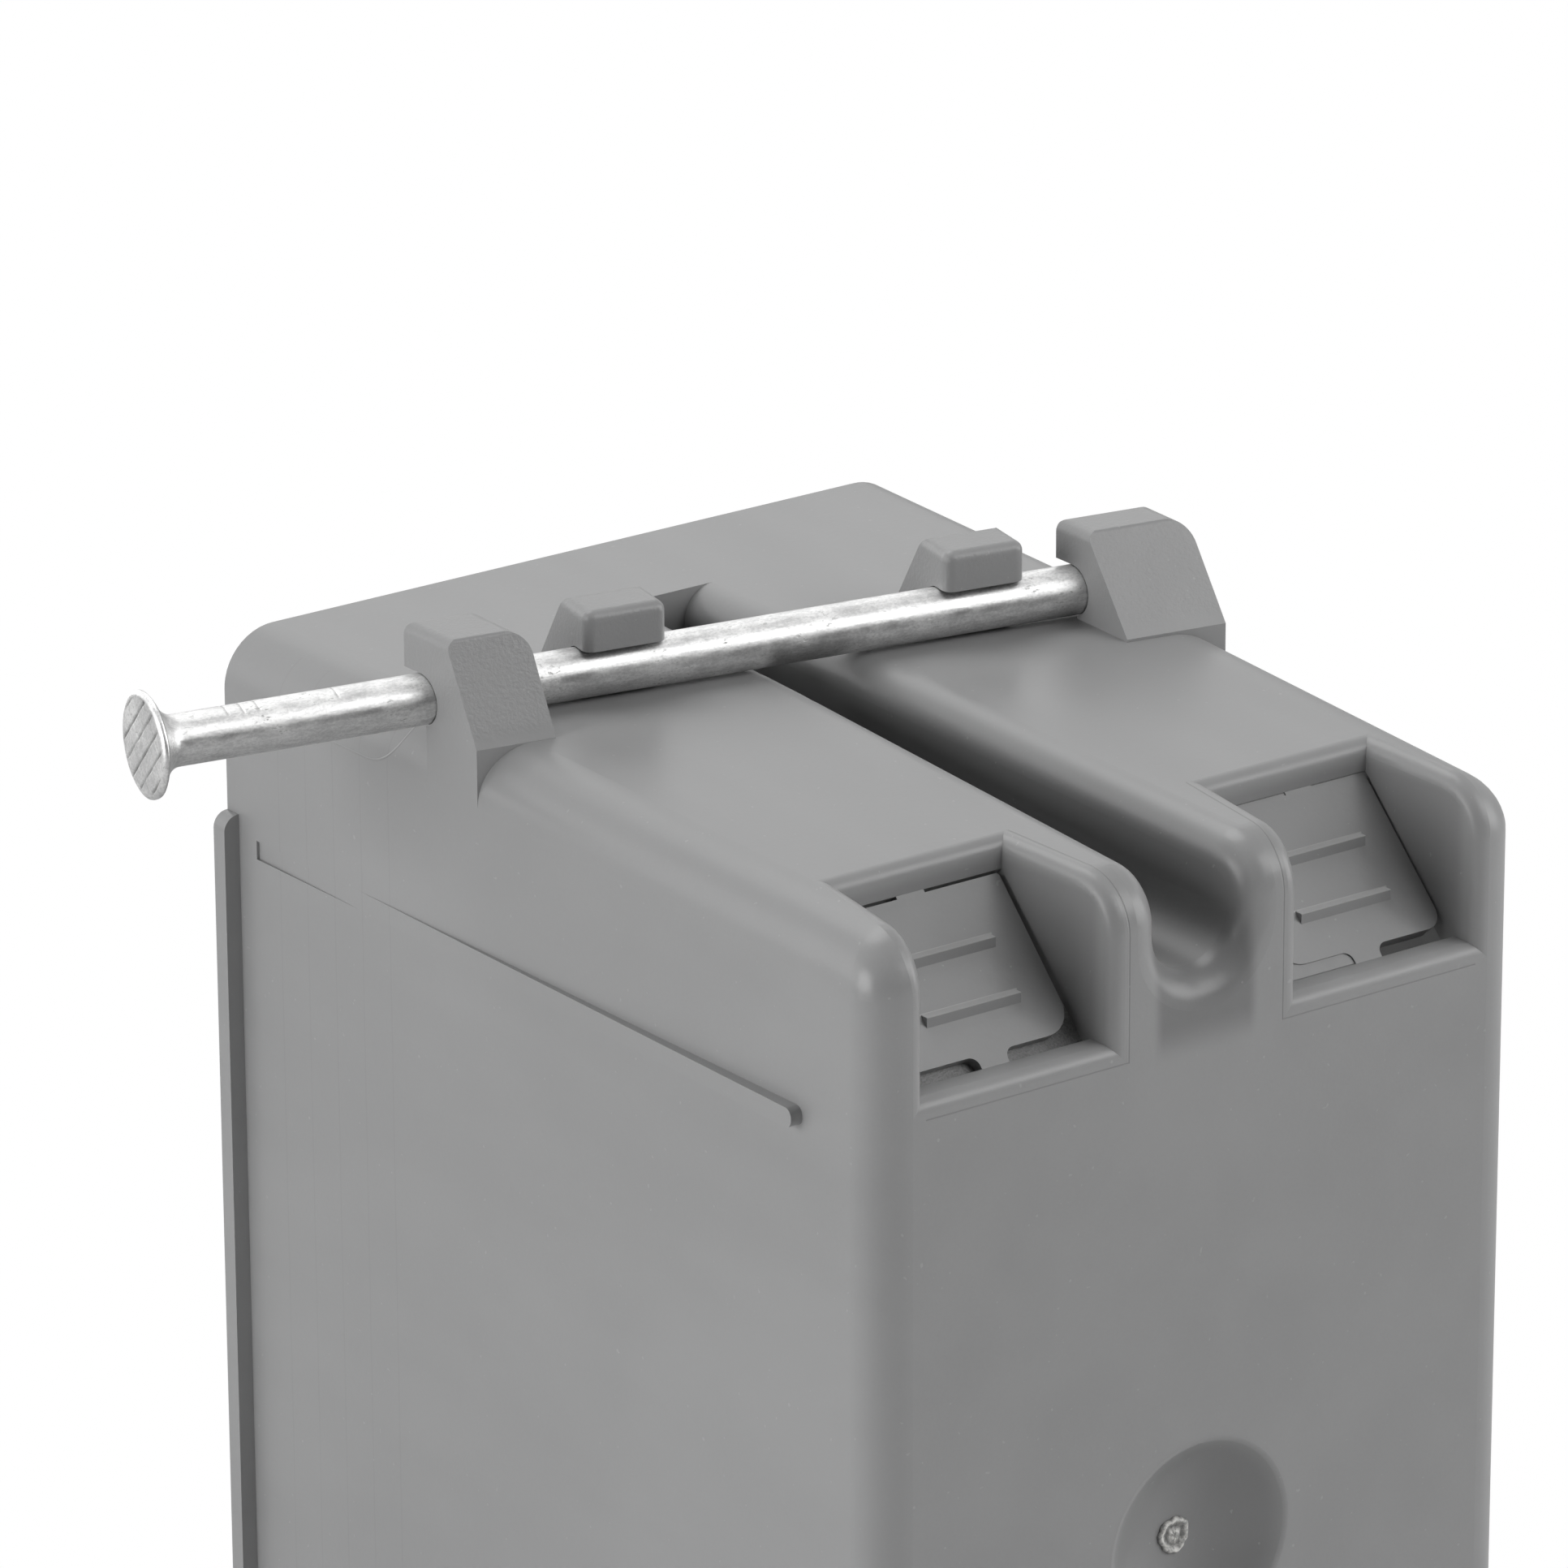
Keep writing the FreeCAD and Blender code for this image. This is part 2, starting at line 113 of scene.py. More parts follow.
def fade(tree, value, low, high, start=0.0, end=1.0):
    # smooth step of a value between low and high, from start to end
    node = addNode(tree, "ShaderNodeMapRange", interpolation_type="SMOOTHSTEP")
    feed(tree, node.inputs["Value"], value)
    node.inputs["From Min"].default_value = low
    node.inputs["From Max"].default_value = high
    node.inputs["To Min"].default_value = start
    node.inputs["To Max"].default_value = end
    return node.outputs["Result"]


def within(tree, value, low, high, soft):
    # one between low and high, fading to nothing over the soft distance outside
    above = fade(tree, value, low - soft, low)
    return calc(tree, "MULTIPLY", above, fade(tree, value, high, high + soft, 1.0, 0.0))


def noise(tree, place, scale, detail=2.0, roughness=0.5):
    node = addNode(tree, "ShaderNodeTexNoise")
    feed(tree, node.inputs["Vector"], place)
    node.inputs["Scale"].default_value = scale
    node.inputs["Detail"].default_value = detail
    node.inputs["Roughness"].default_value = roughness
    return node.outputs["Fac"]


def stretch(tree, place, scale, turn=(0.0, 0.0, 0.0)):
    node = addNode(tree, "ShaderNodeMapping")
    feed(tree, node.inputs["Vector"], place)
    node.inputs["Scale"].default_value = scale
    node.inputs["Rotation"].default_value = turn
    return node.outputs["Vector"]


def blendColour(tree, factor, first, second):
    node = addNode(tree, "ShaderNodeMix", data_type="RGBA")
    feed(tree, node.inputs[0], factor)
    feed(tree, node.inputs[6], first)
    feed(tree, node.inputs[7], second)
    return node.outputs[2]


def grey(level):
    return level, level, level, 1


def startMaterial(name):
    material = bpy.data.materials.new(name)
    material.use_nodes = True
    tree = material.node_tree
    tree.nodes.clear()
    out = addNode(tree, "ShaderNodeOutputMaterial", (600, 0))
    shader = addNode(tree, "ShaderNodeBsdfPrincipled", (300, 0))
    tree.links.new(shader.outputs[0], out.inputs["Surface"])
    place = addNode(tree, "ShaderNodeTexCoord", (-900, 0)).outputs["Object"]
    return material, tree, shader, place


def startGroup(name, inputs, outputs):
    group = bpy.data.node_groups.new(name, "ShaderNodeTree")
    for label, kind in inputs:
        group.interface.new_socket(name=label, in_out="INPUT", socket_type=kind)
    for label, kind in outputs:
        group.interface.new_socket(name=label, in_out="OUTPUT", socket_type=kind)
    into = addNode(group, "NodeGroupInput", (-900, 0))
    return group, into, addNode(group, "NodeGroupOutput", (600, 0))


def useGroup(tree, group, **values):
    node = addNode(tree, "ShaderNodeGroup", node_tree=group)
    for name, value in values.items():
        feed(tree, node.inputs[name], value)
    return node


def bumpNormal(tree, height, distance, strength=1.0, under=None):
    # bump from a height between 0 and 1, worth a distance in metres
    node = addNode(tree, "ShaderNodeBump")
    node.inputs["Strength"].default_value = strength
    node.inputs["Distance"].default_value = distance
    feed(tree, node.inputs["Height"], height)
    if under is not None:
        feed(tree, node.inputs["Normal"], under)
    return node.outputs["Normal"]


# painted shade in creases and grooves, carried by vertex
def creaseShadeAttribute(tree):
    return addNode(tree, "ShaderNodeAttribute", attribute_name="creaseShade").outputs["Fac"]


def dress(piece, material):
    # puts one material on a whole piece
    if not piece.data.materials:
        piece.data.materials.append(material)
    for slot in piece.material_slots:
        slot.material = material


# small helpers for meshes
def smooth(values, low, high):
    s = np.clip((values - low) / (high - low), 0, 1)
    return s * s * (3 - 2 * s)


def notch(distance, width):
    # one for a point in the middle of a groove, falling to nothing at its width
    return 1 - smooth(np.abs(distance), 0, width)


def closedFaces(rows, columns):
    # Faces of a tube closed at both ends. Vertices 0 and 1 are the middles of its ends, and
    # the rings follow from 2 on: quads between the rings, then a fan at each end.
    row, column = np.meshgrid(np.arange(rows - 1), np.arange(columns), indexing="ij")
    after = (column + 1) % columns
    quads = np.stack([row * columns + column, (row + 1) * columns + column,
                      (row + 1) * columns + after, row * columns + after], 2)
    ring = np.arange(columns)
    after = (ring + 1) % columns
    first, last = 2, 2 + (rows - 1) * columns
    start = np.stack([np.zeros(columns, int), first + ring, first + after], 1)
    end = np.stack([np.ones(columns, int), last + after, last + ring], 1)
    return (quads.reshape(-1, 4) + first).tolist() + start.tolist() + end.tolist()


def addPiece(name, places, faces, material, rounded=None, creaseShade=None):
    # Smooth all over unless told which faces are. The painted crease shade of a closed tube is
    # given by ring, and the middles of its two ends are unshaded.
    mesh = bpy.data.meshes.new(name)
    mesh.from_pydata(places.tolist(), [], faces)
    if rounded is None:
        rounded = np.ones(len(faces), bool)
    mesh.polygons.foreach_set("use_smooth", rounded)
    if creaseShade is not None:
        values = mesh.attributes.new("creaseShade", "FLOAT", "POINT").data
        values.foreach_set("value", np.concatenate([[0, 0], creaseShade.ravel()]))
    mesh.update()
    piece = bpy.data.objects.new(name, mesh)
    bpy.context.scene.collection.objects.link(piece)
    dress(piece, material)
    return piece


# stage and light
stage = {
    "floorSize": 6.0,
    "floorColour": grey(0.80),
    "floorRoughness": 0.9,
    "backdropWay": (-0.15, -0.55, 0.82),  # the bright backdrop's side, as shiny faces see it
    "backdropEdge": (-0.45, 0.75),
}

# each lamp looks at the middle of the box from a distance of one metre
lamps = {
    "left": {"azimuth": 90, "rise": 14, "watts": 4.81},
    "leftBack": {"azimuth": 53, "rise": 14, "watts": 1.12},
    "leftHigh": {"azimuth": 30, "rise": 38, "watts": 0.41},
    "right": {"azimuth": 240, "rise": 14, "watts": 3.28},
    "rightHigh": {"azimuth": 212, "rise": 38, "watts": 3.21},
    "behindHigh": {"azimuth": 0, "rise": 64, "watts": 3.25},
    "behindRight": {"azimuth": 330, "rise": 30, "watts": 0.60},
    "front": {"azimuth": 0, "rise": 5, "watts": 2.2},
}
lampSize = 0.55


def makeStage(facts, level):
    reach = facts["floorSize"] / 2
    corners = [(-reach, -reach), (reach, -reach), (reach, reach), (-reach, reach)]
    mesh = bpy.data.meshes.new("floor")
    mesh.from_pydata([(*corner, level) for corner in corners], [], [(0, 1, 2, 3)])
    floor = bpy.data.objects.new("floor", mesh)
    bpy.context.scene.collection.objects.link(floor)
    # the camera sees it glow white, and only its plain side lights the box
    material, tree, plain, _ = startMaterial("floor_white")
    plain.inputs["Base Color"].default_value = facts["floorColour"]
    plain.inputs["Roughness"].default_value = facts["floorRoughness"]
    out = tree.nodes["Material Output"]
    mix = addNode(tree, "ShaderNodeMixShader", (450, 0))
    glow = addNode(tree, "ShaderNodeEmission", (100, -400))
    path = addNode(tree, "ShaderNodeLightPath", (0, 200))
    seen = calc(tree, "MAXIMUM", path.outputs["Is Camera Ray"], path.outputs["Is Transmission Ray"])
    tree.links.new(seen, mix.inputs[0])
    tree.links.new(plain.outputs[0], mix.inputs[1])
    tree.links.new(glow.outputs[0], mix.inputs[2])
    tree.links.new(mix.outputs[0], out.inputs["Surface"])
    dress(floor, material)

    # white for the camera, a one-sided backdrop for shiny faces, dark for everything else
    world = bpy.data.worlds.new("studio")
    bpy.context.scene.world = world
    world.use_nodes = True
    tree = world.node_tree
    tree.nodes.clear()
    out = addNode(tree, "ShaderNodeOutputWorld", (600, 0))
    sky = addNode(tree, "ShaderNodeBackground", (300, 0))
    path = addNode(tree, "ShaderNodeLightPath", (-300, 100))
    way = addNode(tree, "ShaderNodeVectorMath", (-500, -100), operation="DOT_PRODUCT")
    spot = addNode(tree, "ShaderNodeTexCoord", (-700, -100))
    tree.links.new(spot.outputs["Generated"], way.inputs[0])
    way.inputs[1].default_value = Vector(facts["backdropWay"]).normalized()
    backdrop = fade(tree, way.outputs["Value"], *facts["backdropEdge"])
    mirrored = calc(tree, "MULTIPLY", path.outputs["Is Glossy Ray"], backdrop)
    seen = calc(tree, "MAXIMUM", path.outputs["Is Camera Ray"], mirrored)
    feed(tree, sky.inputs["Strength"], seen)
    tree.links.new(sky.outputs[0], out.inputs["Surface"])


def makeLamps(facts, target):
    for name, lamp in facts.items():
        data = bpy.data.lights.new(name, "AREA")
        data.size = lampSize
        data.energy = lamp["watts"]
        turn, rise = math.radians(lamp["azimuth"]), math.radians(lamp["rise"])
        level = math.cos(rise)
        away = Vector((math.sin(turn) * level, -math.cos(turn) * level, math.sin(rise)))
        light = bpy.data.objects.new(name, data)
        light.location = Vector(target) + away
        light.rotation_euler = away.to_track_quat("Z", "Y").to_euler()
        bpy.context.scene.collection.objects.link(light)


makeStage(stage, cadBox[0].z)
makeLamps(lamps, (0, 0.035, 0.02))
print("stage and lamps set")


# moulded plastic: one group for the skin that every plastic piece has
skin = {
    "cloud": 48.0,  # slow drifts of tone, per metre
    "flow": 210.0,
    "peel": 1500.0,  # fine orange peel
    "grit": 5200.0,
}


def makeSkinGroup(facts):
    group, into, out = startGroup(
        "moulded_skin",
        [("Place", "NodeSocketVector")],
        [("Tone", "NodeSocketFloat"), ("Gloss", "NodeSocketFloat"), ("Height", "NodeSocketFloat")])
    place = into.outputs["Place"]
    cloud = noise(group, place, facts["cloud"], 3.0)
    flow = noise(group, stretch(group, place, (1.0, 0.18, 1.0)), facts["flow"], 2.0)
    peel = noise(group, place, facts["peel"], 2.0)
    grit = noise(group, place, facts["grit"], 2.0, 0.6)
    tone = calc(group, "ADD", calc(group, "MULTIPLY", cloud, 0.6),
                calc(group, "MULTIPLY", flow, 0.25))
    tone = calc(group, "MULTIPLY_ADD", grit, 0.15, tone)
    gloss = calc(group, "MULTIPLY_ADD", flow, 0.5, calc(group, "MULTIPLY", cloud, 0.5))
    height = calc(group, "MULTIPLY_ADD", grit, 0.25, calc(group, "MULTIPLY", peel, 0.75))
    feed(group, out.inputs["Tone"], tone)
    feed(group, out.inputs["Gloss"], gloss)
    feed(group, out.inputs["Height"], height)
    return group


skinGroup = makeSkinGroup(skin)

# places in metres: x across from the middle, y from the front rim, z up or down from the
# middle; a third number beside two limits is the width of their fade
plastic = {
    "dark": (0.318, 0.319, 0.321, 1),
    "light": (0.346, 0.347, 0.349, 1),
    "toneEdge": (0.32, 0.68),
    "glossEdge": (0.3, 0.7),
    "roughness": (0.30, 0.40),
    "peelDepth": 0.000012,
    "lineDepth": 0.00003,
    "lineColour": grey(0.08),
    "stipple": {"scale": 3600.0, "depth": 0.00003, "level": (0.0479, 0.0489)},
    "speck": {"scale": 2300.0, "edge": (0.765, 0.80), "share": 0.22, "colour": grey(0.60)},
    # painted shade in the bowl of the dish
    "dish": {"level": -0.0013, "edge": (0.0060, 0.0078), "back": 0.067, "shade": 0.30},
    # painted shade down in the groove and the cable pockets
    "groove": {
        "x": (-1, 0.0034, 0.0010),
        "front": 0.0095,
        "z": (0.036, 0.0445, 0.0028),
        "shade": 0.42,
    },
    "pocket": {
        "x": (0.0077, 0.0224, 0.0004),
        "y": (0.0610, 0.0694, 0.0012),
        "z": (0.0357, 0.0452, 0.0008),
        "shade": 0.20,
    },
    # colour of the painted shade in the groove and the pockets
    "recessShadeColour": grey(0.06),
    # painted highlight on the level treads of the finger ribs
    "treadHighlights": {
        "places": ((0.06368, 0.04186), (0.06636, 0.03889)),
        "x": (0.0114, 0.0191, 0.0001),
        "depth": 0.0007,
        "depthFade": 0.00005,
        "half": 0.00004,
        "fade": 0.00003,
        "colour": grey(0.47),
    },
    "toolLines": {
        "first": 0.0062,
        "pitch": 0.0032,
        "last": 0.0206,
        "start": 0.0057,
        "side": 0.0262,
        "edge": (0.008, 0.035),  # in pitches
        "shade": 0.05,
        "cut": 0.12,
    },
    "clipMark": {
        "centre": (0.0144, 0.0490),
        "half": (0.0062, 0.00552),
        "corner": 0.0041,
        "edge": (0.00003, 0.00009),
        "front": (0.0108, 0.0134),
        "top": 0.0466,
        "side": 0.0262,
        "rise": 0.9,
    },
    "pocketLine": {
        "wall": 0.0085,
        "front": 0.061,
        "start": 0.060,
        "draft": 0.0875,
        "gap": 0.00128,
        "lip": 0.0355,
        "side": 0.0225,
        "edge": (0.00002, 0.00008),
        "shade": 0.30,
        "cut": 0.6,
    },
}


def toolLines(tree, x, y, facts):
    # fine upright lines near the front of the side walls: how near y is to a whole pitch
    turns = calc(tree, "DIVIDE", calc(tree, "SUBTRACT", y, facts["first"]), facts["pitch"])
    away = calc(tree, "ABSOLUTE", calc(tree, "SUBTRACT", turns, calc(tree, "ROUND", turns)))
    line = fade(tree, away, *facts["edge"], 1.0, 0.0)
    inside = calc(tree, "MULTIPLY", calc(tree, "GREATER_THAN", y, facts["start"]),
                  calc(tree, "LESS_THAN", y, facts["last"]))
    side = calc(tree, "GREATER_THAN", x, facts["side"])
    return calc(tree, "MULTIPLY", line, calc(tree, "MULTIPLY", inside, side))


def clipMark(tree, x, y, z, facts):
    # outline of the half-round insert in the side wall under each nail: the distance to a
    # rounded box in y and z
    reach = []
    for value, centre, half in zip((y, z), facts["centre"], facts["half"]):
        out = calc(tree, "ABSOLUTE", calc(tree, "SUBTRACT", value, centre))
        reach.append(calc(tree, "SUBTRACT", out, half - facts["corner"]))
    out = [calc(tree, "MAXIMUM", value, 0.0) for value in reach]
    squares = [calc(tree, "MULTIPLY", value, value) for value in out]
    far = calc(tree, "SQRT", calc(tree, "ADD", *squares))
    near = calc(tree, "MINIMUM", calc(tree, "MAXIMUM", *reach), 0.0)
    away = calc(tree, "SUBTRACT", calc(tree, "ADD", far, near), facts["corner"])
    line = fade(tree, calc(tree, "ABSOLUTE", away), *facts["edge"], 1.0, 0.0)
    below = calc(tree, "LESS_THAN", z, facts["top"])
    shown = calc(tree, "MULTIPLY", fade(tree, y, *facts["front"]), below)
    side = calc(tree, "GREATER_THAN", x, facts["side"])
    return calc(tree, "MULTIPLY", calc(tree, "MULTIPLY", line, shown), side)


def pocketLine(tree, x, y, z, facts):
    # hairline that runs beside the inner wall of each cable pocket and along under its lip
    behind = calc(tree, "SUBTRACT", y, facts["front"])
    wall = calc(tree, "MULTIPLY_ADD", behind, -facts["draft"], facts["wall"])
    side = calc(tree, "SUBTRACT", calc(tree, "SUBTRACT", wall, x), facts["gap"])
    under = calc(tree, "SUBTRACT", calc(tree, "SUBTRACT", facts["lip"], z), facts["gap"])
    away = calc(tree, "ABSOLUTE", calc(tree, "MAXIMUM", side, under))
    line = fade(tree, away, *facts["edge"], 1.0, 0.0)
    back = calc(tree, "GREATER_THAN", y, facts["start"])
    inner = calc(tree, "LESS_THAN", x, facts["side"])
    return calc(tree, "MULTIPLY", line, calc(tree, "MULTIPLY", back, inner))


def paintedRecessShade(tree, x, y, z, groove, pocket):
    # painted shade: darker plastic down in the groove and the cable pockets, where shade falls
    behind = calc(tree, "GREATER_THAN", y, groove["front"])
    inGroove = calc(tree, "MULTIPLY", within(tree, x, *groove["x"]), behind)
    inGroove = calc(tree, "MULTIPLY", inGroove, within(tree, z, *groove["z"]))
    inPocket = calc(tree, "MULTIPLY", within(tree, x, *pocket["x"]), within(tree, y, *pocket["y"]))
    inPocket = calc(tree, "MULTIPLY", inPocket, within(tree, z, *pocket["z"]))
    return calc(tree, "MAXIMUM", calc(tree, "MULTIPLY", inGroove, groove["shade"]),
                calc(tree, "MULTIPLY", inPocket, pocket["shade"]))


def ribTreadHighlight(tree, x, y, z, facts):
    # painted highlight: the level treads of the finger ribs, painted paler than the flaps they
    # stand on, as if lit from above
    treadHighlights = []
    for start, level in facts["places"]:
        deep = within(tree, y, start, start + facts["depth"], facts["depthFade"])
        flat = within(tree, z, level - facts["half"], level + facts["half"], facts["fade"])
        treadHighlights.append(calc(tree, "MULTIPLY", deep, flat))
    return calc(tree, "MULTIPLY", calc(tree, "MAXIMUM", *treadHighlights), within(tree, x, *facts["x"]))


def paintedDishShade(tree, x, y, level, facts):
    # painted shade: the bowl of the dish, darker inside its edge
    up = calc(tree, "SUBTRACT", level, facts["level"])
    away = calc(tree, "SQRT", calc(tree, "MULTIPLY_ADD", x, x, calc(tree, "MULTIPLY", up, up)))
    inside = fade(tree, away, *facts["edge"], 1.0, 0.0)
    bowl = calc(tree, "MULTIPLY", inside, calc(tree, "GREATER_THAN", y, facts["back"]))
    return calc(tree, "MULTIPLY", bowl, facts["shade"])


def makePlastic(facts):
    material, tree, shader, place = startMaterial("grey_plastic_moulded")
    skinNode = useGroup(tree, skinGroup, Place=place)
    split = addNode(tree, "ShaderNodeSeparateXYZ")
    feed(tree, split.inputs[0], place)
    # both ends and both sides are alike, so most marks go by the distance from the middle
    x = calc(tree, "ABSOLUTE", split.outputs["X"])
    y = split.outputs["Y"]
    z = calc(tree, "ABSOLUTE", split.outputs["Z"])
    tools = toolLines(tree, x, y, facts["toolLines"])
    clip = clipMark(tree, split.outputs["X"], y, z, facts["clipMark"])
    hair = pocketLine(tree, x, y, z, facts["pocketLine"])

    def lineShare(name):
        return calc(tree, "MAXIMUM", calc(tree, "MULTIPLY", tools, facts["toolLines"][name]),
                    calc(tree, "MULTIPLY", hair, facts["pocketLine"][name]))

    colour = blendColour(tree, fade(tree, skinNode.outputs["Tone"], *facts["toneEdge"]),
                         facts["dark"], facts["light"])
    colour = blendColour(tree, lineShare("shade"), colour, facts["lineColour"])
    # painted shade in the dish's bowl, in the lines' dark colour
    dish = paintedDishShade(tree, x, y, split.outputs["Z"], facts["dish"])
    colour = blendColour(tree, dish, colour, facts["lineColour"])
    # painted shade down in the groove and the cable pockets
    recessShadeMask = paintedRecessShade(tree, x, y, z, facts["groove"], facts["pocket"])
    colour = blendColour(tree, recessShadeMask, colour, facts["recessShadeColour"])
    # painted highlight on the level treads of the finger ribs
    treadHighlights = ribTreadHighlight(tree, x, y, z, facts["treadHighlights"])
    colour = blendColour(tree, treadHighlights, colour, facts["treadHighlights"]["colour"])
    speck = facts["speck"]
    specks = fade(tree, noise(tree, place, speck["scale"], 1.0, 0.4), *speck["edge"])
    specks = calc(tree, "MULTIPLY", specks, speck["share"])
    colour = blendColour(tree, specks, colour, speck["colour"])
    feed(tree, shader.inputs["Base Color"], colour)
    rough = fade(tree, skinNode.outputs["Gloss"], *facts["glossEdge"], *facts["roughness"])
    feed(tree, shader.inputs["Roughness"], rough)
    # the clips over each end wall are stippled, as the mould left them
    stipple = noise(tree, place, facts["stipple"]["scale"], 2.0, 0.6)
    stipple = calc(tree, "MULTIPLY", stipple, fade(tree, z, *facts["stipple"]["level"]))
    normal = bumpNormal(tree, skinNode.outputs["Height"], facts["peelDepth"])
    normal = bumpNormal(tree, stipple, facts["stipple"]["depth"], under=normal)
    raised = calc(tree, "MULTIPLY", clip, facts["clipMark"]["rise"])
    lines = calc(tree, "SUBTRACT", raised, lineShare("cut"))
    feed(tree, shader.inputs["Normal"], bumpNormal(tree, lines, facts["lineDepth"], under=normal))
    return material


dress(nodes["box_body"], makePlastic(plastic))
print("plastic made")


# galvanised steel
steel = {
    "dull": (0.56, 0.56, 0.56, 1),
    "bright": (0.80, 0.80, 0.795, 1),
    "pit": (0.22, 0.22, 0.215, 1),
    # painted shade in the nails' creases and grooves
    "creaseShade": (0.10, 0.10, 0.098, 1),
    "toneEdge": (0.36, 0.64),
    "roughness": (0.36, 0.50),
    "pitEdge": (0.60, 0.68),
    "pitShare": 0.45,
    "bumpDepth": 0.000014,
    "skew": 10.0,
}


def makeSteel(facts):
    material, tree, shader, place = startMaterial("galvanised_steel_zinc")
    along = stretch(tree, place, (1.0, 1.0, 1.0), (0.0, 0.0, math.radians(facts["skew"])))
    drawn = stretch(tree, along, (0.22, 1.0, 1.0))
    streak = noise(tree, drawn, 3400.0, 3.0, 0.55)
    lump = noise(tree, along, 330.0, 3.0, 0.55)
    grain = noise(tree, stretch(tree, along, (0.6, 1.0, 1.0)), 7000.0, 2.0, 0.6)
    pits = noise(tree, stretch(tree, along, (0.5, 1.0, 1.0)), 4200.0, 2.0, 0.6)
    pits = fade(tree, pits, *facts["pitEdge"])
    pits = calc(tree, "MULTIPLY", pits, fade(tree, lump, 0.45, 0.62))
    tone = calc(tree, "ADD", calc(tree, "MULTIPLY", streak, 0.35),
                calc(tree, "MULTIPLY", grain, 0.40))
    tone = calc(tree, "MULTIPLY_ADD", lump, 0.25, tone)
    colour = blendColour(tree, fade(tree, tone, *facts["toneEdge"]), facts["dull"], facts["bright"])
    pitted = calc(tree, "MULTIPLY", pits, facts["pitShare"])
    colour = blendColour(tree, pitted, colour, facts["pit"])
    # painted shade in the creases, checker grooves and grip marks
    colour = blendColour(tree, creaseShadeAttribute(tree), colour, facts["creaseShade"])
    feed(tree, shader.inputs["Base Color"], colour)
    shader.inputs["Metallic"].default_value = 1.0
    rough = calc(tree, "MULTIPLY_ADD", pits, 0.2, fade(tree, lump, 0.35, 0.65, *facts["roughness"]))
    feed(tree, shader.inputs["Roughness"], rough)
    height = calc(tree, "MULTIPLY_ADD", streak, 0.7, calc(tree, "MULTIPLY", grain, 0.3))
    height = calc(tree, "MULTIPLY_ADD", pits, -0.4, height)
    feed(tree, shader.inputs["Normal"], bumpNormal(tree, height, facts["bumpDepth"]))
    return material


# nails, in millimetres
nail = {
    "skew": 10.0,
    "axisDepth": 27.87,
    "axisLevel": 49.475,
    "headReach": 48.15,
    "length": 76.2,
    "radius": 1.75,
    "faceRadius": 3.32,
    "headRadius": 3.65,
    "neckPlace": 0.56,
    "neckRadius": 3.42,
    "flareLength": 1.8,
    "flarePower": 2.3,
    "markedLength": 14.4,  # rows stand close together this far from the face
    "pointLength": 4.5,
    "pointTip": 0.12,
    "pointTurn": 0.5,
    "checkPitch": 1.77,
    "checkShift": (-0.95, 0.3),
    "checkDepth": 0.13,
    "crossDepth": 0.035,
    "checkWidth": 0.15,
    "gripMarks": (42.4, 41.3, 40.2, 34.6),  # distance from the middle towards the head
    "gripWidth": 0.10,
    "gripDepth": 0.05,
    "turns": 160,
}


def nailProfile(facts):
    # distance behind the face and radius: a bevelled rim, a crease under it, then a flare
    # that falls to the shank as a power of what is left of its length
    neck, radius = facts["neckPlace"], facts["radius"]
    rim = np.array([(0.0, facts["faceRadius"]), (0.05, 3.43), (0.13, 3.55), (0.22, 3.62),
                    (0.31, facts["headRadius"]), (0.42, 3.64), (0.47, 3.57), (0.51, 3.47),
                    (neck, facts["neckRadius"])])
    s = np.linspace(0.04, 1, 26)
    spread = (facts["neckRadius"] - radius) * (1 - s) ** facts["flarePower"]
    flare = np.stack([neck + facts["flareLength"] * s, radius + spread], 1)
    pointStart = facts["length"] - facts["pointLength"]
    rest = np.concatenate([
        np.arange(flare[-1, 0] + 0.1, facts["markedLength"], 0.10),
        np.arange(facts["markedLength"] + 0.2, pointStart, 0.9),
        np.linspace(pointStart, facts["length"], 30)])
    return np.concatenate([rim, flare, np.stack([rest, np.full_like(rest, radius)], 1)])


